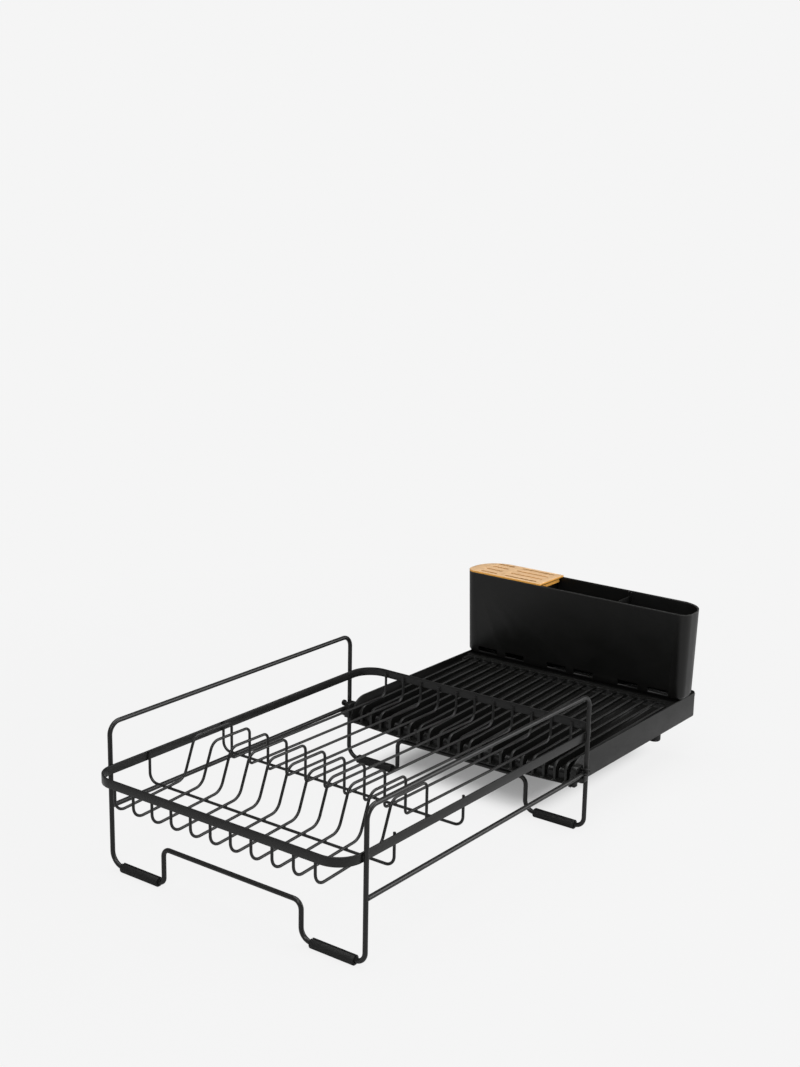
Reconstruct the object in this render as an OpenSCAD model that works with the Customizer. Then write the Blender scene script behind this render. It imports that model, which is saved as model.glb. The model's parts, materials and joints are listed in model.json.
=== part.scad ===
// Dish drying rack: a wire basket on a bent wire frame, with a drip tray that
// slides out behind it on two rods and carries a cutlery caddy with a bamboo lid.
// Millimetres. +Z is up and Z = 0 is the worktop. The basket stands at -Y and the
// tray slides out to +Y. X = 0 is the middle of the rack, and Y = 0 is the middle
// of the whole length with the tray pulled out.

/* [Wire frame] */
// Distance between the left and the right frame wires, centre to centre
frame_width = 330; // [328:0.5:332]
// Distance between the front and the rear legs, centre to centre
frame_depth = 387; // [382:1:390]
// Height of the guard rails' centre line
guard_height = 158; // [152:1:170]
// Diameter of the frame wire and of the slide rods
frame_wire_d = 5; // [4.8:0.1:5]
// Height of the slide rods' centre line
rod_height = 69; // [68.8:0.1:69.2]
// Half the width of the raised bridge between two feet
bridge_half = 90; // [84:1:90]
// Height of the bridge's centre line
bridge_height = 43.3; // [36:0.1:43.3]
// Length of the rubber sleeve on each foot
sleeve_length = 52; // [44:1:52]

/* [Basket] */
// How far the rim stands out in front of the front legs
rim_front_reach = 30; // [28:0.5:32]
// How far the rim stands out behind the rear legs
rim_rear_reach = 30.5; // [28:0.5:31]
// Height of the rim's band, bottom edge to top edge
rim_tall = 9.7; // [8:0.1:10]
// Thickness of the rim's band
rim_thick = 2; // [1.5:0.1:2.5]
// Diameter of the dish wires and cross wires
dish_wire_d = 3; // [2.8:0.1:3]
// Number of dish wires
dish_wire_count = 11; // [11:1:11]
// Distance between two dish wires, centre to centre
dish_wire_pitch = 25.86; // [25:0.02:26]
// Height of the dish wires' floor at the rear of the basket, centre line
basket_floor_z = 82.9; // [82.8:0.05:83.4]
// Height of the hoops' front top corner, centre line
hoop_height = 127.6; // [125:0.2:130]

/* [Drip tray] */
// Width of the tray outside its walls
tray_width = 308; // [306:0.5:308]
// How far the tray's rear wall stands out behind the rear legs
tray_reach = 285; // [280:1:290]
// Height of the tray's side walls
tray_wall_tall = 30.1; // [28:0.1:30.1]
// Thickness of the tray's walls
tray_wall = 2.5; // [2:0.1:2.5]
// Distance between two drain fins, centre to centre
fin_pitch = 14.25; // [14:0.05:14.3]
// Thickness of a drain fin
fin_thick = 3.4; // [2.6:0.1:3.6]
// How much lower the middle of the pouring lip hangs than its ends
lip_sag = 4; // [2:0.5:4]

/* [Caddy and lid] */
// Length of the caddy at its rim
caddy_length = 319.2; // [318:0.1:320]
// Depth of the caddy at its rim, front to back
caddy_depth = 57; // [56:0.5:58]
// Height of the caddy's rim above the worktop
caddy_rim_z = 192.5; // [180:0.5:195]
// Thickness of the caddy's wall
caddy_wall = 2; // [1.6:0.1:2.2]
// Distance of each divider from the middle of the caddy
divider_x = 52.7; // [48:0.1:60]
// Length of the bamboo lid's plate
lid_length = 113.5; // [110:0.5:124]
// Thickness of the bamboo lid's plate
lid_thick = 2.3; // [2:0.1:3]

/* [Hidden] */
$fn = 48;

// Everything below is measured along Y from the front or the rear legs
front_y = rim_front_reach - (rim_front_reach + frame_depth + tray_reach) / 2;
rear_y = front_y + frame_depth;
frame_x = frame_width / 2;
bore_fit = 0.05;

// Frame wire
foot_z = 5;
frame_bend = 13;
weld_sink = 0.1;
bend_bite = 0.2;
bend_fit = 0.02;
sleeve_r = 5.2;
sleeve_bore_r = frame_wire_d / 2 + bore_fit;
sleeve_slit = 1.2;

// Bends and sleeves at the feet, left then right
sleeve_mid = [124.2, 127.9];
foot_bend = [14.7, 11];
bridge_shift = -1.2;
bridge_foot_bend = [6.9, 12];
bridge_top_bend = [8, 9];

// Rim
rim_half = frame_x - frame_wire_d / 2 + weld_sink;
rim_z = 105;
rim_corner = 27;
rim_y0 = front_y - rim_front_reach;
rim_y1 = rear_y + rim_rear_reach;

// Dish wires, as (Y, Z) corners measured from the front legs. The floor is lowest
// at the front, and the middle wire stands a little left of the middle.
wire_r = dish_wire_d / 2;
wire_top_z = 110.5;
wire_front = -rim_front_reach + rim_thick + wire_r - weld_sink;
wire_rear = frame_depth + rim_rear_reach - rim_thick - wire_r + weld_sink;
hairpin_y = 142.6;
dish_wire_shift = -1.5;
floor_front = [wire_front, basket_floor_z - 3.1];
floor_hoop = [69.6, basket_floor_z + 2.1];
floor_hairpin = [hairpin_y, basket_floor_z + 2.7];
floor_rear = [wire_rear, basket_floor_z];
dish_path = [
    [wire_front, wire_top_z],
    floor_front,
    floor_hoop,
    [86.7, hoop_height],
    [hairpin_y, hoop_height - 0.6],
    floor_hairpin,
    floor_rear,
    [wire_rear, wire_top_z]
];
dish_bends = [12, 14, 12, 7, 4.5, 10];

// Cross wires are welded under the dish wires' floor and turn up inside the rim
weld_bite = 0.5;
cross_half = rim_half - rim_thick - wire_r + weld_sink;
cross_top_z = 115.6;
cross_bend = 10;
front_cross_y = 49;
middle_cross_y = 160;

// Tray, measured from the rear legs
tray_half = tray_width / 2;
tray_inner = tray_half - tray_wall;
tray_z0 = 53.2;
tray_z1 = tray_z0 + tray_wall_tall;
tray_front = rear_y - 9;
tray_rear = rear_y + tray_reach;
tray_corner = 9.5;
wall_front = rear_y - 14;
wall_nose = 28;

// Drain floor: valleys fall towards the lip between fins with level tops
fin_count = 21;
fin_rear_z = 79.2;
fin_front_z = 75.2;
fin_front_sag = 5.2;
fin_nose = 9;
fin_y0 = tray_front + 3.5;
valley_rear_z = 76.4;
valley_front_drop = 10;
valley_nose = 5;
valley_y0 = tray_front + 10;
floor_thick = 1.8;
floor_bite = 0.5;
pocket_y1 = rear_y + 229;
pocket_corner = 3.5;
land_y0 = pocket_y1 - 10;
ledge_y0 = pocket_y1 + 1.5;
ledge_z = 81;
ledge_thick = 2;
lip_thick = 2;
lip_y1 = tray_front + 12.5;
fin_edge_x = (fin_count - 1) / 2 * fin_pitch;

// Tray feet
tray_foot_x = 145.5;
tray_foot_y = rear_y + 194;
tray_foot_r = 7.4;
tray_foot_z = 44.2;
tray_foot_tall = 8;
tray_foot_bevel = 2;
boss_r = 5;
boss_tall = 22;
peg_r = 2;
peg_tall = 6;

// Rail guides on the tray's front corners
rod_r = frame_wire_d / 2;
guide_y0 = rear_y - 14.5;
guide_y1 = rear_y + 2;
guide_z0 = 60;
guide_z1 = 77.5;
guide_out = frame_x - frame_wire_d / 2 - 1;
guide_round = 4;
claw_y = rear_y - 11;
claw_long = 7;
claw_gap = 0.4;
claw_out = frame_x + rod_r + 2.3;
claw_in = frame_x + rod_r + 0.5;
claw_round = 4;
prong_y = rear_y - 12;
prong_z = 53;
prong_thick = 4;
stud_r = 1.8;
stud_y = rear_y - frame_wire_d / 2 - 0.3 - stud_r;
stud_z = rod_height + rod_r + 0.3 + stud_r;
stud_head_r = 3.6;
stud_head_x0 = frame_x + rod_r + 0.5;
stud_head_x1 = stud_head_x0 + 3.6;
stud_tail_x = tray_half + 0.3;
stud_dimple_r = 1;

// Caddy, measured from its own middle
caddy_x = 1.5;
caddy_y = rear_y + 259;
caddy_draft = 3.2;
caddy_front_corner = 12.7;
caddy_rear_corner = 35.4;
caddy_skirt_z = 83.6;
caddy_skirt_tall = 4.8;
caddy_skirt_inset = 5;
plinth_half = 149;
plinth_depth = 39;
plinth_front_corner = 5;
plinth_rear_corner = 25;
slot_long = 28;
slot_tall = 7.2;
slot_sill = 1.2;
slot_z = 86.3;
slot_x = [-124, -82.5, -19.5, 19.5, 82.5, 124];
slice = 0.01;
divider_thick = 1.8;
divider_top_z = caddy_rim_z - 6.5;
divider_gap = 0.4;
rib_thick = 1.2;
rib_proud = 2.2;
rib_drop = 0.5;

// Lid
lid_block_tall = 5.7;
lid_block_inset = 6.5;
lid_block_back = 2.2;
lid_slot = 3.4;
lid_slot_y = [-21, -7, 7, 21];
lid_slot_x = [[-140.5, -116.5], [-103.5, -56.5]];

steel = "#2b2b2c";
plastic = "#333334";
dark_rubber = "#1c1c1c";
bamboo = "#c9a06a";

// ---- Shapes that several pieces share ----

// Points of an arc about (cx, cy), from angle a0 to angle a1
function arc(cx, cy, r, a0, a1, n = 10) =
    [for (i = [0:n]) let (a = a0 + (a1 - a0) * i / n) [cx + r * cos(a), cy + r * sin(a)]];

// Outline of a rectangle about the origin with round corners
function round_rect(half_x, half_y, r, n = 12) = concat(
    arc(half_x - r, half_y - r, r, 0, 90, n),
    arc(-half_x + r, half_y - r, r, 90, 180, n),
    arc(-half_x + r, -half_y + r, r, 180, 270, n),
    arc(half_x - r, -half_y + r, r, 270, 360, n)
);

// Outline with two small corners at the front and two large ones at the rear
function d_outline(half_x, half_y, front_r, rear_r, n = 16) = concat(
    arc(half_x - rear_r, half_y - rear_r, rear_r, 0, 90, n),
    arc(-half_x + rear_r, half_y - rear_r, rear_r, 90, 180, n),
    arc(-half_x + front_r, -half_y + front_r, front_r, 180, 270, n),
    arc(half_x - front_r, -half_y + front_r, front_r, 270, 360, n)
);

function heading(a, b) = atan2(b[1] - a[1], b[0] - a[0]);
function wrap(a) = a > 180 ? a - 360 : a < -180 ? a + 360 : a;
function turn(path, i) = wrap(heading(path[i], path[i + 1]) - heading(path[i - 1], path[i]));

// A round wire in the XY plane: straight runs, with a bend of its own radius at each corner.
// A straight run is a hair thinner than the bends and ends just inside them.
module bent_wire(path, bends, d) {
    last = len(path) - 1;
    set_back = [for (i = [0:last])
        i == 0 || i == last ? 0 : bends[i - 1] * tan(abs(turn(path, i)) / 2) - bend_bite];
    for (i = [0:last - 1])
        translate(path[i])
            rotate([0, 0, heading(path[i], path[i + 1])])
                translate([set_back[i], 0, 0])
                    rotate([0, 90, 0])
                        cylinder(d = d - bend_fit,
                                 h = norm(path[i + 1] - path[i]) - set_back[i] - set_back[i + 1]);
    for (i = [1:last - 1]) wire_bend(path, i, bends[i - 1], d);
}

// One bend: a quarter of a ring, or less, about the corner's centre of curvature
module wire_bend(path, i, r, d) {
    angle = turn(path, i);
    side = angle > 0 ? 1 : -1;
    before = heading(path[i - 1], path[i]);
    after = heading(path[i], path[i + 1]);
    to_centre = before + angle / 2 + 90 * side;
    reach = r / cos(angle / 2);
    translate([path[i][0] + reach * cos(to_centre), path[i][1] + reach * sin(to_centre), 0])
        rotate([0, 0, side > 0 ? before - 90 : after + 90])
            rotate_extrude(angle = abs(angle))
                translate([r, 0])
                    circle(d = d);
}

// Stands an XY drawing up in the plane X = x, so that it is read as (Y, Z)
module side_plane(x) {
    translate([x, 0, 0]) rotate([90, 0, 90]) children();
}

// Stands an XY drawing up in the plane Y = y, so that it is read as (X, Z)
module front_plane(y) {
    translate([0, y, 0]) rotate([90, 0, 0]) children();
}

// A (Y, Z) outline as a solid of the given width about X = x
module across(x, width) {
    side_plane(x - width / 2) linear_extrude(height = width) children();
}

// A copy on the right, or mirrored to the left when side is -1
module on_side(side) {
    if (side > 0) children();
    else mirror([1, 0, 0]) children();
}

// ---- Wire frame ----

// Guard rail, its two legs and the two feet stubs that turn in under the rack
module guard_wire(side) {
    i = side > 0 ? 1 : 0;
    color(steel) on_side(side) {
        side_plane(frame_x)
            bent_wire([[front_y, rod_height], [front_y, guard_height],
                       [rear_y, guard_height], [rear_y, rod_height]],
                      [frame_bend, frame_bend], frame_wire_d);
        for (y = [front_y, rear_y])
            front_plane(y)
                bent_wire([[frame_x, rod_height], [frame_x, foot_z], [sleeve_mid[i], foot_z]],
                          [foot_bend[i]], frame_wire_d);
    }
}

// Raised bridge between two feet
module bridge_wire(y) {
    left_x = bridge_shift - bridge_half;
    right_x = bridge_shift + bridge_half;
    color(steel)
        front_plane(y)
            bent_wire([[-sleeve_mid[0], foot_z], [left_x, foot_z], [left_x, bridge_height],
                       [right_x, bridge_height], [right_x, foot_z], [sleeve_mid[1], foot_z]],
                      [bridge_foot_bend[0], bridge_top_bend[0], bridge_top_bend[1], bridge_foot_bend[1]],
                      frame_wire_d);
}

// Rod between two legs, which the drip tray slides on
module slide_rod(side) {
    rod_y0 = front_y + rod_r - 2 * weld_sink;
    rod_y1 = rear_y - rod_r + 2 * weld_sink;
    color(steel)
        translate([side * frame_x, rod_y0, rod_height])
            rotate([-90, 0, 0])
                cylinder(r = rod_r, h = rod_y1 - rod_y0);
}

// Split rubber sleeve over the butt joint in a foot, with a flat that meets the worktop
module foot_sleeve(side, y) {
    mid = side * sleeve_mid[side > 0 ? 1 : 0];
    color(dark_rubber)
        translate([mid - sleeve_length / 2, y, foot_z])
            difference() {
                rotate([0, 90, 0]) cylinder(r = sleeve_r, h = sleeve_length);
                translate([-1, 0, 0])
                    rotate([0, 90, 0]) cylinder(r = sleeve_bore_r, h = sleeve_length + 2);
                translate([-1, -sleeve_slit / 2, 0])
                    cube([sleeve_length + 2, sleeve_slit, sleeve_r + 1]);
                translate([-1, -sleeve_r, -foot_z - 2])
                    cube([sleeve_length + 2, 2 * sleeve_r, 2]);
            }
}

// ---- Basket ----

// Flat band that goes round the top of the basket
module basket_rim() {
    half_y = (rim_y1 - rim_y0) / 2;
    color(steel)
        translate([0, (rim_y0 + rim_y1) / 2, rim_z])
            linear_extrude(height = rim_tall)
                difference() {
                    polygon(round_rect(rim_half, half_y, rim_corner, 18));
                    polygon(round_rect(rim_half - rim_thick, half_y - rim_thick,
                                       rim_corner - rim_thick, 18));
                }
}

// One dish wire: up inside the front of the rim, along the floor, over the hoop and
// back down, along the floor again and up inside the rear of the rim
module dish_wire(k) {
    color(steel)
        side_plane((k - (dish_wire_count + 1) / 2) * dish_wire_pitch + dish_wire_shift)
            bent_wire([for (p = dish_path) [p[0] + front_y, p[1]]], dish_bends, dish_wire_d);
}

// Height of the floor between two of its corners, at y
function floor_z(y, a, b) = a[1] + (y - a[0]) * (b[1] - a[1]) / (b[0] - a[0]);

// Wire under the dish wires that ties them together, turned up inside the rim at both ends
module cross_wire(y, a, b) {
    cross_z = floor_z(y, a, b) - dish_wire_d + weld_bite;
    color(steel)
        front_plane(front_y + y)
            bent_wire([[-cross_half, cross_top_z], [-cross_half, cross_z],
                       [cross_half, cross_z], [cross_half, cross_top_z]],
                      [cross_bend, cross_bend], dish_wire_d);
}

// ---- Drip tray ----

// Height of the fins' tops at the nose, lower towards the middle
function fin_nose_z(x) = fin_front_z - fin_front_sag * (1 - pow(x / fin_edge_x, 2));

// Underside of the pouring lip, lower towards the middle
function lip_z(x) = tray_z0 - lip_sag * (1 - pow(x / tray_half, 2));

// Side and rear walls: an open-fronted wall outline whose side view rounds down at the front
module tray_walls() {
    open_y = wall_front - tray_wall;
    intersection() {
        translate([0, 0, tray_z0])
            linear_extrude(height = tray_wall_tall)
                difference() {
                    polygon(concat(
                        arc(tray_half - tray_corner, tray_rear - tray_corner, tray_corner, 0, 90),
                        arc(-tray_half + tray_corner, tray_rear - tray_corner, tray_corner, 90, 180),
                        [[-tray_half, wall_front], [tray_half, wall_front]]));
                    polygon(concat(
                        arc(tray_half - tray_corner, tray_rear - tray_corner,
                            tray_corner - tray_wall, 0, 90),
                        arc(-tray_half + tray_corner, tray_rear - tray_corner,
                            tray_corner - tray_wall, 90, 180),
                        [[-tray_inner, open_y], [tray_inner, open_y]]));
                }
        across(0, tray_width + 2)
            polygon(concat(
                [[wall_front, tray_z0 - 1], [tray_rear + 1, tray_z0 - 1], [tray_rear + 1, tray_z1 + 1],
                 [wall_front + wall_nose, tray_z1 + 1]],
                arc(wall_front + wall_nose, tray_z1 - wall_nose, wall_nose, 90, 180, 20)));
    }
}

// Raised ledge at the rear that the caddy stands on, and its riser
module tray_ledge() {
    bite = tray_wall / 2;
    translate([-tray_inner - bite, ledge_y0, ledge_z - ledge_thick])
        cube([2 * (tray_inner + bite), tray_rear - bite - ledge_y0 - tray_corner / 3, ledge_thick]);
    translate([-tray_inner - bite, ledge_y0, valley_rear_z - floor_thick])
        cube([2 * (tray_inner + bite), ledge_thick, ledge_z - valley_rear_z + floor_thick]);
}

// Land behind the fins, with the round rear end of each valley cut into it
module tray_land() {
    half = (fin_pitch - fin_thick) / 2;
    difference() {
        translate([-tray_inner - 1, land_y0, valley_rear_z - floor_thick])
            cube([2 * tray_inner + 2, ledge_y0 + 1 - land_y0, fin_rear_z - valley_rear_z + floor_thick]);
        for (k = [0:fin_count - 2])
            translate([(k + 0.5) * fin_pitch - fin_edge_x, 0, valley_rear_z])
                linear_extrude(height = 5)
                    polygon(concat(
                        [[-half, land_y0 - 1], [half, land_y0 - 1]],
                        arc(half - pocket_corner, pocket_y1 - pocket_corner, pocket_corner, 0, 90, 6),
                        arc(-half + pocket_corner, pocket_y1 - pocket_corner, pocket_corner, 90, 180, 6)));
    }
}

// One fin: a blade with a level top, a round nose and a straight front
module tray_fin(x) {
    top = fin_nose_z(x);
    sole = top - valley_front_drop - floor_thick;
    foot = lip_z(x) + lip_thick / 2;
    across(x, fin_thick)
        polygon(concat(
            [[land_y0 + 1, fin_rear_z]],
            arc(fin_y0 + fin_nose, top - fin_nose, fin_nose, 90, 180, 8),
            [[fin_y0, foot], [valley_y0 + floor_thick, foot],
             [valley_y0 + floor_thick, sole - valley_nose],
             [valley_y0 + valley_nose + floor_thick, sole],
             [land_y0 + 1, valley_rear_z - floor_thick]]));
}

// One valley: a thin floor that falls towards the nose and turns down to the lip
module tray_valley(x, width) {
    top = fin_nose_z(x) - valley_front_drop;
    foot = lip_z(x) + lip_thick / 2;
    across(x, width)
        polygon(concat(
            [[land_y0 + 1, valley_rear_z]],
            arc(valley_y0 + valley_nose, top - valley_nose, valley_nose, 90, 180, 6),
            [[valley_y0, foot], [valley_y0 + floor_thick, foot]],
            arc(valley_y0 + valley_nose, top - valley_nose, valley_nose - floor_thick, 180, 90, 6),
            [[land_y0 + 1, valley_rear_z - floor_thick]]));
}

// Pouring lip, hung a little lower in the middle
module tray_lip() {
    steps = 20;
    edge = tray_inner + 1;
    xs = [for (i = [0:steps]) -edge + 2 * edge * i / steps];
    front_plane(lip_y1)
        linear_extrude(height = lip_y1 - tray_front)
            polygon(concat([for (x = xs) [x, lip_z(x)]],
                           [for (i = [steps:-1:0]) [xs[i], lip_z(xs[i]) + lip_thick]]));
}

// Hollow post under the floor that takes a foot's peg
module tray_boss(side) {
    translate([side * tray_foot_x, tray_foot_y, tray_foot_z + tray_foot_tall])
        difference() {
            cylinder(r = boss_r, h = boss_tall);
            translate([0, 0, -1]) cylinder(r = peg_r + bore_fit, h = peg_tall + 2);
        }
}

module drip_tray() {
    side_gap = tray_inner - fin_edge_x;
    color(plastic) {
        tray_walls();
        tray_ledge();
        tray_land();
        tray_lip();
        for (k = [0:fin_count - 1]) tray_fin(k * fin_pitch - fin_edge_x);
        for (k = [0:fin_count - 2])
            tray_valley((k + 0.5) * fin_pitch - fin_edge_x, fin_pitch - fin_thick + 2 * floor_bite);
        for (side = [-1, 1]) {
            tray_valley(side * (fin_edge_x + side_gap / 2), side_gap - fin_thick / 2 + 2);
            tray_boss(side);
        }
    }
}

// Rubber foot under the tray, with a peg that presses into its post
module tray_foot(side) {
    color(dark_rubber)
        translate([side * tray_foot_x, tray_foot_y, tray_foot_z]) {
            rotate_extrude()
                polygon(concat([[0, 0]],
                               arc(tray_foot_r - tray_foot_bevel, tray_foot_bevel, tray_foot_bevel, -90, 0, 6),
                               [[tray_foot_r, tray_foot_tall], [0, tray_foot_tall]]));
            cylinder(r = peg_r, h = tray_foot_tall + peg_tall);
        }
}

// Guide on the tray's front corner: a block against the wall, a prong below it, and a
// claw that hooks under the slide rod
module rail_guide(side) {
    color(plastic) on_side(side)
        difference() {
            union() {
                across((tray_half + guide_out) / 2, guide_out - tray_half)
                    polygon(concat(
                        arc(guide_y1 - guide_round, guide_z1 - guide_round, guide_round, 0, 90, 6),
                        arc(guide_y0 + guide_round, guide_z1 - guide_round, guide_round, 90, 180, 6),
                        [[guide_y0, guide_z0], [guide_y1, guide_z0]]));
                translate([tray_half, prong_y, prong_z])
                    cube([prong_thick, claw_long, guide_z0 - prong_z + 1]);
                front_plane(claw_y + claw_long)
                    linear_extrude(height = claw_long)
                        polygon(concat(
                            [[tray_half, guide_z0]],
                            arc(claw_out - claw_round, guide_z0 + claw_round, claw_round, -90, 0, 6),
                            [[claw_out, rod_height], [claw_in, rod_height],
                             [claw_in, rod_height - rod_r - claw_gap],
                             [tray_half, rod_height - rod_r - claw_gap]]));
            }
            translate([tray_half - 1, stud_y, stud_z])
                rotate([0, 90, 0]) cylinder(r = stud_r + bore_fit, h = guide_out - tray_half + 2);
        }
}

// Stud that rides on top of the rod, with a round head outside it and a dimple in its end
module guide_stud(side) {
    color(plastic) on_side(side)
        translate([0, stud_y, stud_z])
            rotate([0, 90, 0])
                difference() {
                    union() {
                        translate([0, 0, stud_tail_x]) cylinder(r = stud_r, h = stud_head_x1 - stud_tail_x);
                        translate([0, 0, stud_head_x0])
                            cylinder(r = stud_head_r, h = stud_head_x1 - stud_head_x0 - 1);
                        translate([0, 0, stud_head_x1 - 1])
                            cylinder(r1 = stud_head_r, r2 = stud_head_r - 1, h = 1);
                    }
                    translate([0, 0, stud_head_x1 - 0.8]) cylinder(r = stud_dimple_r, h = 2);
                }
}

// ---- Caddy ----

// How far the wall has drawn in at height z, from the draft of the moulding
function draft(z) = caddy_draft * (caddy_rim_z - z) / (caddy_rim_z - caddy_skirt_z);

// A thin slice of the caddy's outline at height z, drawn in by inset
module caddy_slice(z, inset) {
    drawn_in = draft(z) + inset;
    translate([caddy_x, caddy_y, z])
        linear_extrude(height = slice)
            polygon(d_outline(caddy_length / 2 - drawn_in, caddy_depth / 2 - drawn_in,
                              caddy_front_corner - drawn_in, caddy_rear_corner - drawn_in));
}

// Drafted tub whose foot is rounded in all round, grown inwards by inset
module caddy_body(inset, z0, z1) {
    hull() {
        caddy_slice(z0, inset + caddy_skirt_inset);
        caddy_slice(z0 + caddy_skirt_tall * 0.3, inset + caddy_skirt_inset * 0.4);
        caddy_slice(z0 + caddy_skirt_tall, inset);
        caddy_slice(z1 - slice, inset);
    }
}

// Inner half depth of the caddy at height z
function inner_half(z) = caddy_depth / 2 - draft(z) - caddy_wall;

// Pair of upright ribs on each long wall, which hold a divider between them
module divider_ribs(x) {
    z0 = caddy_skirt_z + caddy_skirt_tall;
    z1 = caddy_rim_z - rib_drop;
    bite = caddy_wall / 2;
    for (side = [-1, 1], offset_x = [-1, 1])
        across(caddy_x + x + offset_x * (divider_thick / 2 + divider_gap + rib_thick / 2), rib_thick)
            polygon([[caddy_y + side * (inner_half(z0) + bite), z0],
                     [caddy_y + side * (inner_half(z1) + bite), z1],
                     [caddy_y + side * (inner_half(z1) - rib_proud), z1],
                     [caddy_y + side * (inner_half(z0) - rib_proud), z0]]);
}

// Drain slot low in the front wall, with a sill that rises through the wall
module drain_slot(x) {
    y0 = caddy_y - caddy_depth / 2 - 1;
    sill_y0 = caddy_y - inner_half(slot_z) - caddy_wall;
    sill_y1 = sill_y0 + caddy_wall + 0.5;
    y1 = sill_y1 + 6;
    across(caddy_x + x, slot_long)
        polygon([[y0, slot_z], [sill_y0, slot_z], [sill_y1, slot_z + slot_sill],
                 [y1, slot_z + slot_sill], [y1, slot_z + slot_tall], [y0, slot_z + slot_tall]]);
}

module utensil_caddy() {
    color(plastic) {
        difference() {
            caddy_body(0, caddy_skirt_z, caddy_rim_z);
            caddy_body(caddy_wall, caddy_skirt_z + caddy_wall, caddy_rim_z + 1);
            for (x = slot_x) drain_slot(x);
        }
        translate([caddy_x, caddy_y, ledge_z])
            linear_extrude(height = caddy_skirt_z - ledge_z + caddy_wall / 2)
                polygon(d_outline(plinth_half, plinth_depth / 2,
                                  plinth_front_corner, plinth_rear_corner, 8));
        divider_ribs(-divider_x);
        divider_ribs(divider_x);
    }
}

// Thin plate that drops between the ribs
module divider(side) {
    z0 = caddy_skirt_z + caddy_wall;
    z_side = caddy_skirt_z + caddy_wall + caddy_skirt_tall;
    z1 = divider_top_z;
    half_foot = inner_half(z0) - caddy_skirt_inset - divider_gap;
    half_side = inner_half(z_side) - divider_gap;
    half_top = inner_half(z1) - divider_gap;
    color(plastic)
        across(caddy_x + side * divider_x, divider_thick)
            polygon([[caddy_y - half_foot, z0], [caddy_y + half_foot, z0],
                     [caddy_y + half_side, z_side], [caddy_y + half_top, z1],
                     [caddy_y - half_top, z1], [caddy_y - half_side, z_side]]);
}

// ---- Lid ----

// Left end of the caddy's outline, drawn in by inset and cut off square at x = cut
module lid_outline(inset, cut) {
    half_x = caddy_length / 2 - inset;
    half_y = caddy_depth / 2 - inset;
    front_r = caddy_front_corner - inset;
    rear_r = caddy_rear_corner - inset;
    polygon(concat(
        arc(-half_x + rear_r, half_y - rear_r, rear_r, 90, 180, 16),
        arc(-half_x + front_r, -half_y + front_r, front_r, 180, 270, 16),
        [[cut, -half_y], [cut, half_y]]));
}

// Bamboo lid over the left compartment: a plate, a block that drops inside the rim, and slots
module bamboo_lid() {
    cut = -caddy_length / 2 + lid_length;
    color(bamboo)
        translate([caddy_x, caddy_y, caddy_rim_z])
            difference() {
                union() {
                    linear_extrude(height = lid_thick) lid_outline(0, cut);
                    translate([0, 0, -lid_block_tall])
                        linear_extrude(height = lid_block_tall + lid_thick / 2)
                            lid_outline(lid_block_inset, cut - lid_block_back);
                }
                for (y = lid_slot_y, x = lid_slot_x)
                    translate([x[0], y - lid_slot / 2, -lid_block_tall - 1])
                        cube([x[1] - x[0], lid_slot, lid_block_tall + lid_thick + 2]);
            }
}

guard_wire(-1);  // left_guard_wire
guard_wire(1);  // right_guard_wire
bridge_wire(front_y);  // front_bridge_wire
bridge_wire(rear_y);  // rear_bridge_wire
slide_rod(-1);  // left_slide_rod
slide_rod(1);  // right_slide_rod
foot_sleeve(-1, front_y);  // front_left_foot_sleeve
foot_sleeve(1, front_y);  // front_right_foot_sleeve
foot_sleeve(-1, rear_y);  // rear_left_foot_sleeve
foot_sleeve(1, rear_y);  // rear_right_foot_sleeve
basket_rim();
for (k = [1:dish_wire_count])
    dish_wire(k);
cross_wire(front_cross_y, floor_front, floor_hoop);  // front_cross_wire
cross_wire(middle_cross_y, floor_hairpin, floor_rear);  // middle_cross_wire
drip_tray();
tray_foot(-1);  // left_tray_foot
tray_foot(1);  // right_tray_foot
rail_guide(-1);  // left_rail_guide
rail_guide(1);  // right_rail_guide
guide_stud(-1);  // left_guide_stud
guide_stud(1);  // right_guide_stud
utensil_caddy();
divider(-1);  // left_divider
divider(1);  // right_divider
bamboo_lid();
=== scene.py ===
import json
import bpy
import numpy as np
from mathutils import Matrix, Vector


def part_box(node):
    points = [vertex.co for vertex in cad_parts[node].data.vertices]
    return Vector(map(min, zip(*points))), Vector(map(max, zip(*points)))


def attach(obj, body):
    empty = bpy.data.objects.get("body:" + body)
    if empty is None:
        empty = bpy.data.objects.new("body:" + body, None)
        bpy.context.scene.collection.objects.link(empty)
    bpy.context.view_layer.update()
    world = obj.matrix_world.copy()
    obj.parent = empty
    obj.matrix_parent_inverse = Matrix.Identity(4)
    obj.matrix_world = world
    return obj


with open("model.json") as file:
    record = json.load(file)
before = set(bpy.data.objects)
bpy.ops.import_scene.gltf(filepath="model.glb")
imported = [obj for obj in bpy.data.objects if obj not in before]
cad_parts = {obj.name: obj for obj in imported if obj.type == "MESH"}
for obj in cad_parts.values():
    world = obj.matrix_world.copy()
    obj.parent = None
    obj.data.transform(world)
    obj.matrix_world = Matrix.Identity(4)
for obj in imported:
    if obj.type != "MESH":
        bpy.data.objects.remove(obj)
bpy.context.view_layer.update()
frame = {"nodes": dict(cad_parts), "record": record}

# ---- Camera ------------------------------------------------------------------------------
# A long lens on a tripod, to the right of the basket's end and a little above the rack.
# The matrix's columns are the camera's right, up and back directions, and its place in metres.
camera_data = bpy.data.cameras.new("camera")
camera_data.lens = 53.976
camera_data.sensor_width = 36
camera_data.shift_x = 0.00228
camera_data.shift_y = -0.0013
camera_data.clip_start = 0.05
camera_data.clip_end = 60
camera = bpy.data.objects.new("camera", camera_data)
camera.matrix_world = Matrix((
    (0.7973, -0.1564, 0.5830, 0.97525),
    (0.6033, 0.1784, -0.7773, -1.36365),
    (0.0175, 0.9715, 0.2366, 0.73124),
    (0, 0, 0, 1)))
bpy.context.scene.collection.objects.link(camera)
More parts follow.
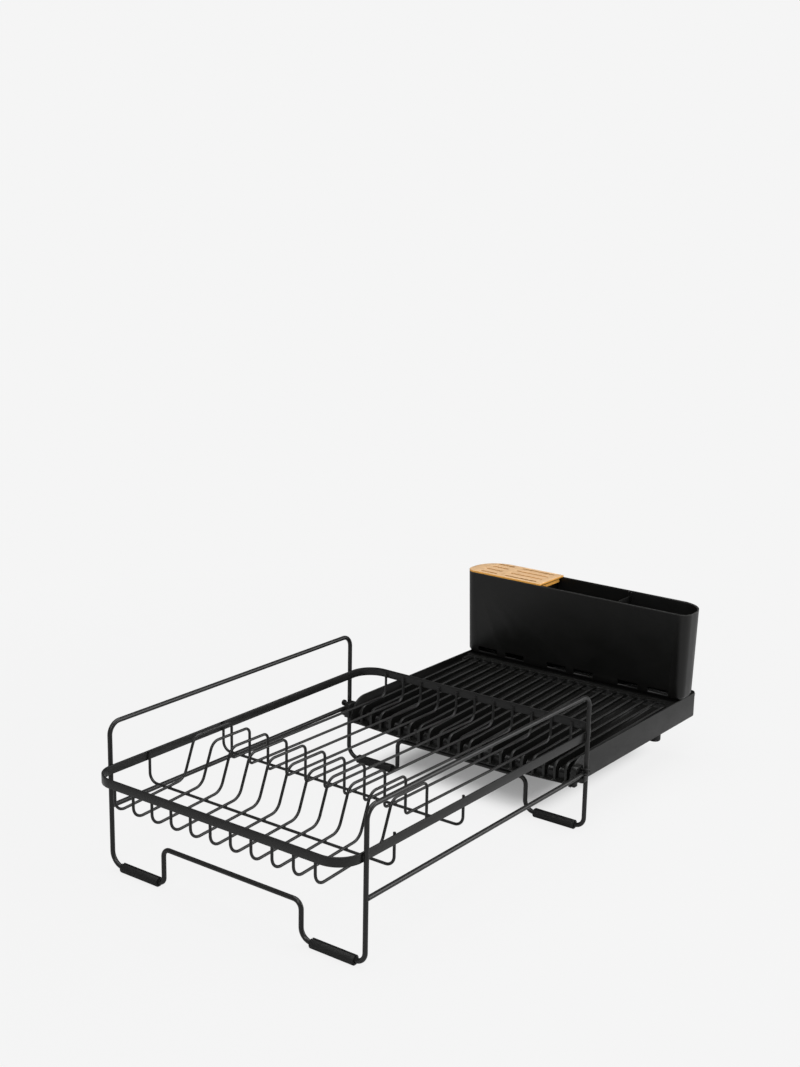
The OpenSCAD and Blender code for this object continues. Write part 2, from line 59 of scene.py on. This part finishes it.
bpy.context.scene.camera = camera
bpy.context.scene.view_settings.view_transform = "Standard"

# ---- Room --------------------------------------------------------------------------------
# The room's wall is as white as the floor to the eye, but it gives little light, and least
# from behind the rack.
backdrop_white = 0.913
front_way, rear_way = -0.7, 0.5
front_glow, rear_glow = 0.22, 0.06
world = bpy.data.worlds.new("studio")
bpy.context.scene.world = world
world.use_nodes = True
n, l = world.node_tree.nodes, world.node_tree.links
n.clear()


def fade(value, start, end, at_start, at_end):
    """Runs smoothly from at_start to at_end while the value goes from start to end."""
    span = n.new("ShaderNodeMapRange"); span.interpolation_type = "SMOOTHSTEP"
    span.inputs["From Min"].default_value = start
    span.inputs["From Max"].default_value = end
    span.inputs["To Min"].default_value = at_start
    span.inputs["To Max"].default_value = at_end
    l.new(value, span.inputs["Value"])
    return span.outputs["Result"]


seen = n.new("ShaderNodeBackground")
seen.inputs["Color"].default_value = (backdrop_white, backdrop_white, backdrop_white, 1)
room = n.new("ShaderNodeBackground")
room.inputs["Color"].default_value = (1, 1, 1, 1)
way = n.new("ShaderNodeTexCoord")
ways = n.new("ShaderNodeSeparateXYZ")
l.new(way.outputs["Generated"], ways.inputs["Vector"])
room_glow = fade(ways.outputs["Y"], front_way, rear_way, front_glow, rear_glow)
l.new(room_glow, room.inputs["Strength"])
ray = n.new("ShaderNodeLightPath")
pick = n.new("ShaderNodeMixShader")
sky = n.new("ShaderNodeOutputWorld")
l.new(ray.outputs["Is Camera Ray"], pick.inputs["Fac"])
l.new(room.outputs["Background"], pick.inputs[1])
l.new(seen.outputs["Background"], pick.inputs[2])
l.new(pick.outputs["Shader"], sky.inputs["Surface"])

# ---- Floor -------------------------------------------------------------------------------
# A sweep of white paper, evenly bright to the eye, with a deep soft shade where the drip tray
# stands at rest and a faint one round the feet that has faded out a metre away.
floor_radius = 20
paper_grey, bounce_grey = 0.7, 0.5
feet_near, feet_gone, feet_depth = 0.3, 1.1, 0.07
bpy.ops.mesh.primitive_circle_add(vertices=96, radius=floor_radius, fill_type="NGON")
floor = bpy.context.active_object
floor.name = "floor"
paper = bpy.data.materials.new("white_paper")
paper.use_nodes = True
n, l = paper.node_tree.nodes, paper.node_tree.links
n.clear()


def maths(operation, a, b=0.0):
    """One arithmetic step of the pattern of the material that is being built."""
    step = n.new("ShaderNodeMath")
    step.operation = operation
    for socket, value in zip(step.inputs, (a, b)):
        if isinstance(value, (int, float)):
            socket.default_value = value
        else:
            l.new(value, socket)
    return step.outputs["Value"]


place = n.new("ShaderNodeTexCoord")
spread = n.new("ShaderNodeSeparateXYZ")
l.new(place.outputs["Object"], spread.inputs["Vector"])

# Each axis has the middle of the tray's shade, how far from it the shade starts to fade and
# has gone, and its depth.
tray_shade = 1.0
for axis, centre, full, gone, most in (("X", -0.02, 0.08, 0.135, 1.0),
                                       ("Y", 0.20, 0.09, 0.155, 0.68)):
    away = maths("ABSOLUTE", maths("SUBTRACT", spread.outputs[axis], centre))
    tray_shade = maths("MULTIPLY", tray_shade, fade(away, full, gone, most, 0.0))
far = n.new("ShaderNodeVectorMath"); far.operation = "LENGTH"
l.new(place.outputs["Object"], far.inputs[0])
feet_shade = fade(far.outputs["Value"], feet_near, feet_gone, feet_depth, 0.0)
glow = n.new("ShaderNodeEmission")
glow.inputs["Color"].default_value = (backdrop_white, backdrop_white, backdrop_white, 1)
sheet = n.new("ShaderNodeBsdfDiffuse")
sheet.inputs["Color"].default_value = (paper_grey, paper_grey, paper_grey, 1)
bounce = n.new("ShaderNodeBsdfDiffuse")
bounce.inputs["Color"].default_value = (bounce_grey, bounce_grey, bounce_grey, 1)
shade = n.new("ShaderNodeMixShader")
eye = n.new("ShaderNodeLightPath")
split = n.new("ShaderNodeMixShader")
out = n.new("ShaderNodeOutputMaterial")
l.new(maths("ADD", tray_shade, feet_shade), shade.inputs["Fac"])
l.new(glow.outputs["Emission"], shade.inputs[1])
l.new(sheet.outputs["BSDF"], shade.inputs[2])
l.new(eye.outputs["Is Camera Ray"], split.inputs["Fac"])
l.new(bounce.outputs["BSDF"], split.inputs[1])
l.new(shade.outputs["Shader"], split.inputs[2])
l.new(split.outputs["Shader"], out.inputs["Surface"])
floor.data.materials.append(paper)

# ---- Lights ------------------------------------------------------------------------------
# Three soft boxes: one overhead, one low behind the right, one high at the front. Each has
# its place, the point it aims at, its size in metres and its power in watts.
for name, spot, aim, size, power in (
        ("overhead_softbox", (0.1, 0.1, 2.3), (0, 0.05, 0), 2.2, 52),
        ("right_softbox", (2.0, 1.5, 1.1), (0.1, 0.1, 0.05), 1.8, 42),
        ("front_softbox", (0.9, -2.1, 1.9), (0, 0.1, 0.1), 1.2, 26)):
    lamp = bpy.data.lights.new(name, "AREA")
    lamp.size = size
    lamp.energy = power
    holder = bpy.data.objects.new(name, lamp)
    bpy.context.scene.collection.objects.link(holder)
    back = np.array(spot, float) - np.array(aim, float)
    back /= np.linalg.norm(back)
    overhead = abs(back[2]) > 0.99
    side = np.cross((0, 1, 0) if overhead else (0, 0, 1), back)
    side /= np.linalg.norm(side)
    up = np.cross(back, side)
    holder.matrix_world = Matrix((
        (side[0], up[0], back[0], spot[0]),
        (side[1], up[1], back[1], spot[1]),
        (side[2], up[2], back[2], spot[2]),
        (0, 0, 0, 1)))

# ---- Wire frame and basket ---------------------------------------------------------------
# Steel wire and strip, bent, welded together and coated satin black. The coat is a little
# uneven, like fine orange peel, and its gloss drifts from place to place.
nodes = frame["nodes"]
bodies = frame["record"]["behaviour"]["bodies"]
grain = bpy.data.node_groups.new("speckled_height", "ShaderNodeTree")
for socket, way_through, kind in (
        ("Position", "INPUT", "NodeSocketVector"), ("Fine scale", "INPUT", "NodeSocketFloat"),
        ("Coarse scale", "INPUT", "NodeSocketFloat"), ("Height", "OUTPUT", "NodeSocketFloat"),
        ("Patches", "OUTPUT", "NodeSocketFloat")):
    grain.interface.new_socket(socket, in_out=way_through, socket_type=kind)
g, gl = grain.nodes, grain.links
gin, gout = g.new("NodeGroupInput"), g.new("NodeGroupOutput")
for detail, scale, result in ((3, "Fine scale", "Height"), (4, "Coarse scale", "Patches")):
    noise = g.new("ShaderNodeTexNoise")
    noise.inputs["Detail"].default_value = detail
    gl.new(gin.outputs["Position"], noise.inputs["Vector"])
    gl.new(gin.outputs[scale], noise.inputs["Scale"])
    gl.new(noise.outputs["Fac"], gout.inputs[result])


def dark_surface(name, dark, light, smoothest, roughest, specular, fine_scale, coarse_scale,
                 depth):
    """A dark moulded or coated surface: colour and roughness drift between two values with a
    coarse noise, and a fine noise of the given scale stands out of the surface by depth."""
    material = bpy.data.materials.new(name)
    material.use_nodes = True
    n, l = material.node_tree.nodes, material.node_tree.links
    bsdf = n["Principled BSDF"]
    bsdf.inputs["Specular IOR Level"].default_value = specular
    place = n.new("ShaderNodeTexCoord")
    speckle = n.new("ShaderNodeGroup"); speckle.node_tree = grain
    speckle.inputs["Fine scale"].default_value = fine_scale
    speckle.inputs["Coarse scale"].default_value = coarse_scale
    tint = n.new("ShaderNodeMix"); tint.data_type = "RGBA"
    tint.inputs["A"].default_value = (*dark, 1)
    tint.inputs["B"].default_value = (*light, 1)
    gloss = n.new("ShaderNodeMapRange")
    gloss.inputs["From Min"].default_value = 0.3
    gloss.inputs["From Max"].default_value = 0.7
    gloss.inputs["To Min"].default_value = smoothest
    gloss.inputs["To Max"].default_value = roughest
    lift = n.new("ShaderNodeBump")
    lift.inputs["Strength"].default_value = 0.3
    lift.inputs["Distance"].default_value = depth
    l.new(place.outputs["Object"], speckle.inputs["Position"])
    l.new(speckle.outputs["Patches"], tint.inputs["Factor"])
    l.new(speckle.outputs["Patches"], gloss.inputs["Value"])
    l.new(tint.outputs["Result"], bsdf.inputs["Base Color"])
    l.new(gloss.outputs["Result"], bsdf.inputs["Roughness"])
    l.new(speckle.outputs["Height"], lift.inputs["Height"])
    l.new(lift.outputs["Normal"], bsdf.inputs["Normal"])
    return material


# Faces are shaded round wherever they meet at less than this angle.
sharp_angle = np.radians(38)
rounding = bpy.data.node_groups.new("round_shading", "GeometryNodeTree")
rounding.interface.new_socket("Geometry", in_out="INPUT", socket_type="NodeSocketGeometry")
rounding.interface.new_socket("Geometry", in_out="OUTPUT", socket_type="NodeSocketGeometry")
g, gl = rounding.nodes, rounding.links
gin, gout = g.new("NodeGroupInput"), g.new("NodeGroupOutput")
edge = g.new("GeometryNodeInputMeshEdgeAngle")
sharp = g.new("FunctionNodeCompare"); sharp.operation = "GREATER_THAN"
sharp.inputs["B"].default_value = sharp_angle
all_round = g.new("GeometryNodeSetShadeSmooth")
keep_sharp = g.new("GeometryNodeSetShadeSmooth"); keep_sharp.domain = "EDGE"
keep_sharp.inputs["Shade Smooth"].default_value = False
gl.new(gin.outputs["Geometry"], all_round.inputs["Geometry"])
gl.new(all_round.outputs["Geometry"], keep_sharp.inputs["Geometry"])
gl.new(edge.outputs["Unsigned Angle"], sharp.inputs["A"])
gl.new(sharp.outputs["Result"], keep_sharp.inputs["Selection"])
gl.new(keep_sharp.outputs["Geometry"], gout.inputs["Geometry"])


def finish_node(name, material, edge_radius=0, segments=2):
    """Gives a solid its material and its small edge radius: its triangles are joined up, and
    each edge sharper than sharp_angle is rounded off by edge_radius metres."""
    piece = nodes[name]
    piece.data.materials.clear()
    piece.data.materials.append(material)
    weld = piece.modifiers.new("joined", "WELD")
    weld.merge_threshold = 0.000002
    if edge_radius:
        bevel = piece.modifiers.new("edge_radius", "BEVEL")
        bevel.width = edge_radius
        bevel.segments = segments
        bevel.limit_method = "ANGLE"
        bevel.angle_limit = sharp_angle
        bevel.use_clamp_overlap = False
        bevel.miter_outer = "MITER_ARC"
    smooth = piece.modifiers.new("round_shading", "NODES")
    smooth.node_group = rounding


powder_coat = dark_surface("satin_powder_coat", (0.0120, 0.0119, 0.0117), (0.0155, 0.0154, 0.0151),
                           smoothest=0.27, roughest=0.36, specular=0.34,
                           fine_scale=1500, coarse_scale=60, depth=0.00004)
for node in bodies["rack"]:
    if not node.endswith("sleeve"):
        finish_node(node, powder_coat, 0.0004 if node == "basket_rim" else 0)

# ---- Weld lumps --------------------------------------------------------------------------
# Weld metal squeezed out beside each joint of the frame, coated with it. Each dish wire is
# welded inside the rim at both ends, and onto the two cross wires below.


def weld_lumps(name, lumps):
    """One piece of weld metal, from a list of lumps, each with its centre and its half sizes.
    A lump is an ellipsoid, half sunk in the wires. The part of its radius that points away
    from its axis is made larger by swell_by, times the sine of three times the angle round the
    axis plus twice the angle down it, times the sine of the angle down it."""
    rings, spokes, swell_by = 7, 12, 0.08
    u = np.linspace(0, np.pi, rings + 2)[1:-1]
    v = np.arange(spokes) * 2 * np.pi / spokes
    uu, vv = np.meshgrid(u, v, indexing="ij")
    swell = 1 + swell_by * np.sin(3 * vv + 2 * uu) * np.sin(uu)
    unit = np.stack([np.sin(uu) * np.cos(vv) * swell,
                     np.sin(uu) * np.sin(vv) * swell, np.cos(uu)], -1)
    unit = np.concatenate([unit.reshape(-1, 3), [[0, 0, 1], [0, 0, -1]]])
    centres = np.array([centre for centre, halves in lumps], float)
    halves = np.array([halves for centre, halves in lumps], float)
    points = centres[:, None, :] + halves[:, None, :] * unit[None]
    i, j = np.meshgrid(np.arange(rings - 1), np.arange(spokes), indexing="ij")
    i, j = i.ravel(), j.ravel()
    k = (j + 1) % spokes
    quads = np.stack([i * spokes + j, (i + 1) * spokes + j,
                      (i + 1) * spokes + k, i * spokes + k], -1)
    j = np.arange(spokes)
    k = (j + 1) % spokes
    last = (rings - 1) * spokes
    top = np.stack([np.full(spokes, rings * spokes), j, k], -1)
    low = np.stack([np.full(spokes, rings * spokes + 1), last + k, last + j], -1)
    step = (np.arange(len(centres)) * len(unit))[:, None, None]
    faces = (step + quads[None]).reshape(-1, 4).tolist()
    faces += (step + top[None]).reshape(-1, 3).tolist()
    faces += (step + low[None]).reshape(-1, 3).tolist()
    mesh = bpy.data.meshes.new(name)
    mesh.from_pydata(points.reshape(-1, 3).tolist(), [], faces)
    mesh.polygons.foreach_set("use_smooth", np.ones(len(mesh.polygons), bool))
    mesh.materials.append(powder_coat)
    piece = bpy.data.objects.new(name, mesh)
    bpy.context.scene.collection.objects.link(piece)
    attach(piece, "rack")


# Half sizes are named for the joint, and offsets run from a wire's middle to its lumps'.
both_ways = (-1, 1)
band, off_face = 0.002, 0.0003
beside_dish, beside_crossing, above_cross = 0.0011, 0.0010, 0.0028
rim_low, rim_high = np.array(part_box("basket_rim"))
middle_z = (rim_low[2] + rim_high[2]) / 2 - 0.001
dish_x = [float(np.mean(np.array(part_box(f"dish_wire_{k}"))[:, 0])) for k in range(1, 12)]
rim_ends = (rim_low[1] + band + off_face, rim_high[1] - band - off_face)
at_rim = (0.0009, 0.0007, 0.0036)
lumps = [((x + s * beside_dish, y, middle_z), at_rim)
         for x in dish_x for s in both_ways for y in rim_ends]
at_crossing, at_cross_end = (0.0009, 0.0009, 0.0006), (0.0007, 0.0009, 0.0036)
for cross in ("front_cross_wire", "middle_cross_wire"):
    cross_low, cross_high = np.array(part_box(cross))
    y, z = (cross_low[1] + cross_high[1]) / 2, cross_low[2] + above_cross
    lumps += [((x + s * beside_crossing, y + t * beside_crossing, z), at_crossing)
              for x in dish_x for s in both_ways for t in both_ways]
    lumps += [((s * (rim_high[0] - band - off_face), y + t * beside_dish, middle_z),
               at_cross_end) for s in both_ways for t in both_ways]
weld_lumps("basket_welds", lumps)

# The rim and the slide rods are welded to the insides of the four legs.
wire_radius, beside_leg, outside_rim = 0.0025, 0.0013, 0.0004
rod_low, rod_high = np.array(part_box("right_slide_rod"))
guard_low, guard_high = np.array(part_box("right_guard_wire"))
leg_x = guard_high[0] - wire_radius
leg_y = (guard_low[1] + wire_radius, guard_high[1] - wire_radius)
rod_z = (rod_low[2] + rod_high[2]) / 2
rod_ends = (rod_low[1] + off_face, rod_high[1] - off_face)
at_rod, at_leg = (0.0022, 0.0009, 0.0022), (0.0008, 0.0010, 0.0037)
lumps = [((s * leg_x, y, rod_z), at_rod) for s in both_ways for y in rod_ends]
lumps += [((s * (rim_high[0] + outside_rim), y + t * beside_leg, middle_z + 0.001), at_leg)
          for s in both_ways for t in both_ways for y in leg_y]
weld_lumps("frame_welds", lumps)

# ---- Foot sleeves ------------------------------------------------------------------------
# Split black rubber sleeves pushed over the feet, dull and faintly pitted.
rubber = dark_surface("black_rubber", (0.005, 0.005, 0.005), (0.009, 0.009, 0.0088),
                      smoothest=0.55, roughest=0.72, specular=0.38,
                      fine_scale=900, coarse_scale=120, depth=0.00007)
for node in bodies["rack"]:
    if node.endswith("sleeve"):
        finish_node(node, rubber, 0.0005, 3)

# ---- Drip tray, its guides, studs and feet -----------------------------------------------
# Moulded plastic, matte black with a fine texture and small radii on every edge, on black
# rubber feet. The channels between the tray's fins are glossier than the fins' tops and the
# outer walls, and the tops are painted a little lighter, as a painted highlight.
plastic = dark_surface("matte_black_plastic", (0.0045, 0.0045, 0.0042), (0.0072, 0.0072, 0.0068),
                       smoothest=0.34, roughest=0.44, specular=0.36,
                       fine_scale=2400, coarse_scale=35, depth=0.00005)


def blend(factor, a, b):
    """A colour between a and b."""
    mix = n.new("ShaderNodeMix"); mix.data_type = "RGBA"
    l.new(factor, mix.inputs["Factor"])
    for key, value in (("A", a), ("B", b)):
        if isinstance(value, tuple):
            mix.inputs[key].default_value = (*value, 1)
        else:
            l.new(value, mix.inputs[key])
    return mix.outputs["Result"]


def within(at, low, high):
    """1 inside the box between the corners low and high, and 0 outside it."""
    mask = 1.0
    for axis, start, end in zip("XYZ", low, high):
        mask = maths("MULTIPLY", mask, maths("GREATER_THAN", at[axis], start))
        mask = maths("MULTIPLY", mask, maths("LESS_THAN", at[axis], end))
    return mask


def regloss(material, mask, roughness):
    """Gives the shader its own roughness where the mask is 1."""
    bsdf = material.node_tree.nodes["Principled BSDF"]
    change = n.new("ShaderNodeMapRange")
    change.inputs["To Max"].default_value = roughness
    l.new(bsdf.inputs["Roughness"].links[0].from_socket, change.inputs["To Min"])
    l.new(mask, change.inputs["Value"])
    l.new(change.outputs["Result"], bsdf.inputs["Roughness"])


# The masks lie inside the side walls and stop 68.5 mm from the tray's rear, just short of
# the fins' ends, and reach past its other sides by spare.
fin_pitch, fin_thick = 0.01425, 0.0034
side_wall, rear_land, spare = 0.003, 0.0685, 0.01
channel_roughness = 0.2
tray_plastic = plastic.copy()
tray_plastic.name = "tray_plastic"
n, l = tray_plastic.node_tree.nodes, tray_plastic.node_tree.links
place, axes = n.new("ShaderNodeTexCoord"), n.new("ShaderNodeSeparateXYZ")
l.new(place.outputs["Object"], axes.inputs["Vector"])
tray_low, tray_high = np.array(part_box("drip_tray"))
fins = maths("ADD", maths("DIVIDE", axes.outputs["X"], fin_pitch), 0.5)
from_fin = maths("ABSOLUTE", maths("SUBTRACT", maths("FRACT", fins), 0.5))
channel = maths("GREATER_THAN", from_fin, 0.48 * fin_thick / fin_pitch)
between_walls = within(axes.outputs, tray_low + (side_wall, -spare, -spare),
                       tray_high - (side_wall, rear_land, -spare))
bsdf = n["Principled BSDF"]
# Painted highlight: the fins' tops between the walls are painted a lighter colour.
fin_top_highlight = blend(maths("MULTIPLY", between_walls, maths("SUBTRACT", 1.0, channel)),
             bsdf.inputs["Base Color"].links[0].from_socket, (0.016, 0.016, 0.0155))
l.new(fin_top_highlight, bsdf.inputs["Base Color"])
regloss(tray_plastic, maths("MULTIPLY", channel, between_walls), channel_roughness)
finish_node("drip_tray", tray_plastic, 0.0006)
for side in ("left", "right"):
    finish_node(f"{side}_rail_guide", plastic, 0.0004)
    finish_node(f"{side}_guide_stud", plastic, 0.0002)
    finish_node(f"{side}_tray_foot", rubber, 0.0004)

# ---- Cutlery caddy and dividers ----------------------------------------------------------
# The same moulded plastic. The caddy's inside has painted shade, its colour darker than outside,
# and it is glossier inside too, both most of all near its floor. Its rim's top edge has a painted
# highlight, its colour lighter. The divider plates slide down between ribs.
rear_corner, front_corner = 0.0354, 0.0127
draft = 0.0294  # how far the wall draws in, for each unit down from the rim
skirt_top, skirt_inset = 0.0892, 0.0055
floor_depth, upper_share = 0.03, 0.25
half_wall, rim_depth = 0.001, 0.0012
inside_roughness = 0.1
caddy_plastic = plastic.copy()
caddy_plastic.name = "caddy_plastic"
n, l = caddy_plastic.node_tree.nodes, caddy_plastic.node_tree.links
place, axes = n.new("ShaderNodeTexCoord"), n.new("ShaderNodeSeparateXYZ")
l.new(place.outputs["Object"], axes.inputs["Vector"])
caddy_low, caddy_high = np.array(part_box("utensil_caddy"))
middle, half = (caddy_low + caddy_high) / 2, (caddy_high - caddy_low) / 2
beside = maths("ABSOLUTE", maths("SUBTRACT", axes.outputs["X"], middle[0]))
behind = maths("SUBTRACT", axes.outputs["Y"], middle[1])
height = axes.outputs["Z"]


def past_outline(end, radius):
    """Distance outside the rim's outline, whose corners at that end (1 rear, -1 front) have
    the given radius. Within a corner it is the distance from the corner's centre less the
    radius, and along a straight side the distance past that side. Inside it is negative."""
    over_x = maths("SUBTRACT", beside, half[0] - radius)
    over_y = maths("SUBTRACT", maths("MULTIPLY", behind, end), half[1] - radius)
    squares = [maths("POWER", maths("MAXIMUM", over, 0.0), 2.0) for over in (over_x, over_y)]
    corner = maths("SQRT", maths("ADD", *squares))
    straight = maths("MINIMUM", maths("MAXIMUM", over_x, over_y), 0.0)
    return maths("SUBTRACT", maths("ADD", corner, straight), radius)


past = maths("MAXIMUM", past_outline(1.0, rear_corner), past_outline(-1.0, front_corner))
past = maths("ADD", past, maths("MULTIPLY", maths("SUBTRACT", caddy_high[2], height), draft))
in_skirt = maths("LESS_THAN", height, skirt_top)
past = maths("ADD", past, maths("MULTIPLY", in_skirt, skirt_inset))
near_floor = maths("LESS_THAN", height, caddy_low[2] + floor_depth)
inside = maths("MULTIPLY", maths("LESS_THAN", past, -half_wall),
               maths("ADD", upper_share, maths("MULTIPLY", near_floor, 1 - upper_share)))
bsdf = n["Principled BSDF"]
# Painted shade: the inside is painted darker, deepest near the floor.
inside_shade_colour = blend(inside, bsdf.inputs["Base Color"].links[0].from_socket,
                    (0.0012, 0.0012, 0.0012))
# Painted highlight: the top 1.2 mm of the rim is painted lighter.
rim_highlight = maths("GREATER_THAN", height, caddy_high[2] - rim_depth)
l.new(blend(rim_highlight, inside_shade_colour, (0.028, 0.028, 0.027)), bsdf.inputs["Base Color"])
regloss(caddy_plastic, inside, inside_roughness)
finish_node("utensil_caddy", caddy_plastic, 0.0008, 3)
for side in ("left", "right"):
    finish_node(f"{side}_divider", plastic, 0.0004)

# ---- Bamboo lid --------------------------------------------------------------------------
# Strips of bamboo 9 mm wide, glued side by side along the lid, planed, slotted, sanded and
# lacquered. The strips' tops are pale, and the cut sides show a warmer, more orange wood,
# also painted brighter than the tops: painted light that makes up for the light they lack.
strip_width, knuckle_pitch = 0.0092, 0.17
bamboo = bpy.data.materials.new("bamboo_strips")
bamboo.use_nodes = True
n, l = bamboo.node_tree.nodes, bamboo.node_tree.links
bsdf = n["Principled BSDF"]
bsdf.inputs["Specular IOR Level"].default_value = 0.35
place, axes = n.new("ShaderNodeTexCoord"), n.new("ShaderNodeSeparateXYZ")
l.new(place.outputs["Object"], axes.inputs["Vector"])


def streaks(along, across, detail):
    """Noise stretched along the strips: along and across are its cells per metre."""
    stretch = n.new("ShaderNodeMapping")
    stretch.inputs["Scale"].default_value = (along, across, across)
    noise = n.new("ShaderNodeTexNoise")
    noise.inputs["Scale"].default_value = 1
    noise.inputs["Detail"].default_value = detail
    l.new(place.outputs["Object"], stretch.inputs["Vector"])
    l.new(stretch.outputs["Vector"], noise.inputs["Vector"])
    return noise.outputs["Fac"]


def ramp(value, low, high):
    """0 below low, 1 above high, and even between."""
    span = n.new("ShaderNodeMapRange")
    span.inputs["From Min"].default_value = low
    span.inputs["From Max"].default_value = high
    l.new(value, span.inputs["Value"])
    return span.outputs["Result"]


strip = maths("DIVIDE", axes.outputs["Y"], strip_width)
strip_across = maths("FRACT", strip)
per_strip = n.new("ShaderNodeTexWhiteNoise"); per_strip.noise_dimensions = "1D"
l.new(maths("FLOOR", strip), per_strip.inputs["W"])
strip_tone = per_strip.outputs["Value"]
joint = ramp(maths("ABSOLUTE", maths("SUBTRACT", strip_across, 0.5)), 0.47, 0.5)
knuckles = maths("ADD", maths("DIVIDE", axes.outputs["X"], knuckle_pitch), strip_tone)
from_knuckle = maths("ABSOLUTE", maths("SUBTRACT", maths("FRACT", knuckles), 0.5))
knuckle = maths("SUBTRACT", 1.0, ramp(from_knuckle, 0.004, 0.016))
fibre = streaks(30, 1900, 3)
bundle = ramp(streaks(90, 2600, 2), 0.60, 0.72)
broad = streaks(9, 240, 3)
top_tone = maths("ADD", maths("MULTIPLY", strip_tone, 0.5), maths("MULTIPLY", broad, 0.5))
top_colour = blend(top_tone, (0.725, 0.495, 0.295), (0.61, 0.385, 0.20))
top_colour = blend(maths("MULTIPLY", fibre, 0.28), top_colour, (0.50, 0.30, 0.13))
# The sides' colour is more orange and, as painted light, brighter than the tops'.
side_colour = blend(broad, (1.0, 0.51, 0.105), (0.94, 0.43, 0.075))
lid_low, lid_high = np.array(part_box("bamboo_lid"))
lid_top, height = lid_high[2], axes.outputs["Z"]
on_top = ramp(height, lid_top - 0.0003, lid_top - 0.0001)
colour = blend(on_top, side_colour, top_colour)
colour = blend(maths("MULTIPLY", bundle, 0.35), colour, (0.30, 0.155, 0.055))
colour = blend(maths("MULTIPLY", joint, 0.45), colour, (0.33, 0.18, 0.07))
colour = blend(maths("MULTIPLY", knuckle, 0.4), colour, (0.36, 0.20, 0.08))

# The slots' walls are painted a darker brown than the top, as painted shade, and a dark line of
# painted shadow runs between the plate and the block under it.
lid_edge = 0.003
slot_low = (lid_low[0] + lid_edge, lid_low[1] + lid_edge, lid_top - 0.0023)
slot_high = (lid_high[0] - lid_edge, lid_high[1] - lid_edge, lid_top - 0.0002)
# Painted shade: the slots' walls are painted darker.
colour = blend(within(axes.outputs, slot_low, slot_high), colour, (0.50, 0.24, 0.075))
# Painted shadow: a dark band on the block's face just under the plate.
plate_shadow_line = maths("MULTIPLY", maths("GREATER_THAN", height, lid_top - 0.0042),
                  maths("LESS_THAN", height, lid_top - 0.0024))
colour = blend(plate_shadow_line, colour, (0.10, 0.04, 0.012))
l.new(colour, bsdf.inputs["Base Color"])
gloss = n.new("ShaderNodeMapRange")
gloss.inputs["To Min"].default_value = 0.36
gloss.inputs["To Max"].default_value = 0.52
l.new(fibre, gloss.inputs["Value"])
l.new(gloss.outputs["Result"], bsdf.inputs["Roughness"])
lift = n.new("ShaderNodeBump")
lift.inputs["Strength"].default_value = 0.35
lift.inputs["Distance"].default_value = 0.00008
l.new(maths("SUBTRACT", fibre, joint), lift.inputs["Height"])
l.new(lift.outputs["Normal"], bsdf.inputs["Normal"])
finish_node("bamboo_lid", bamboo, 0.0003)
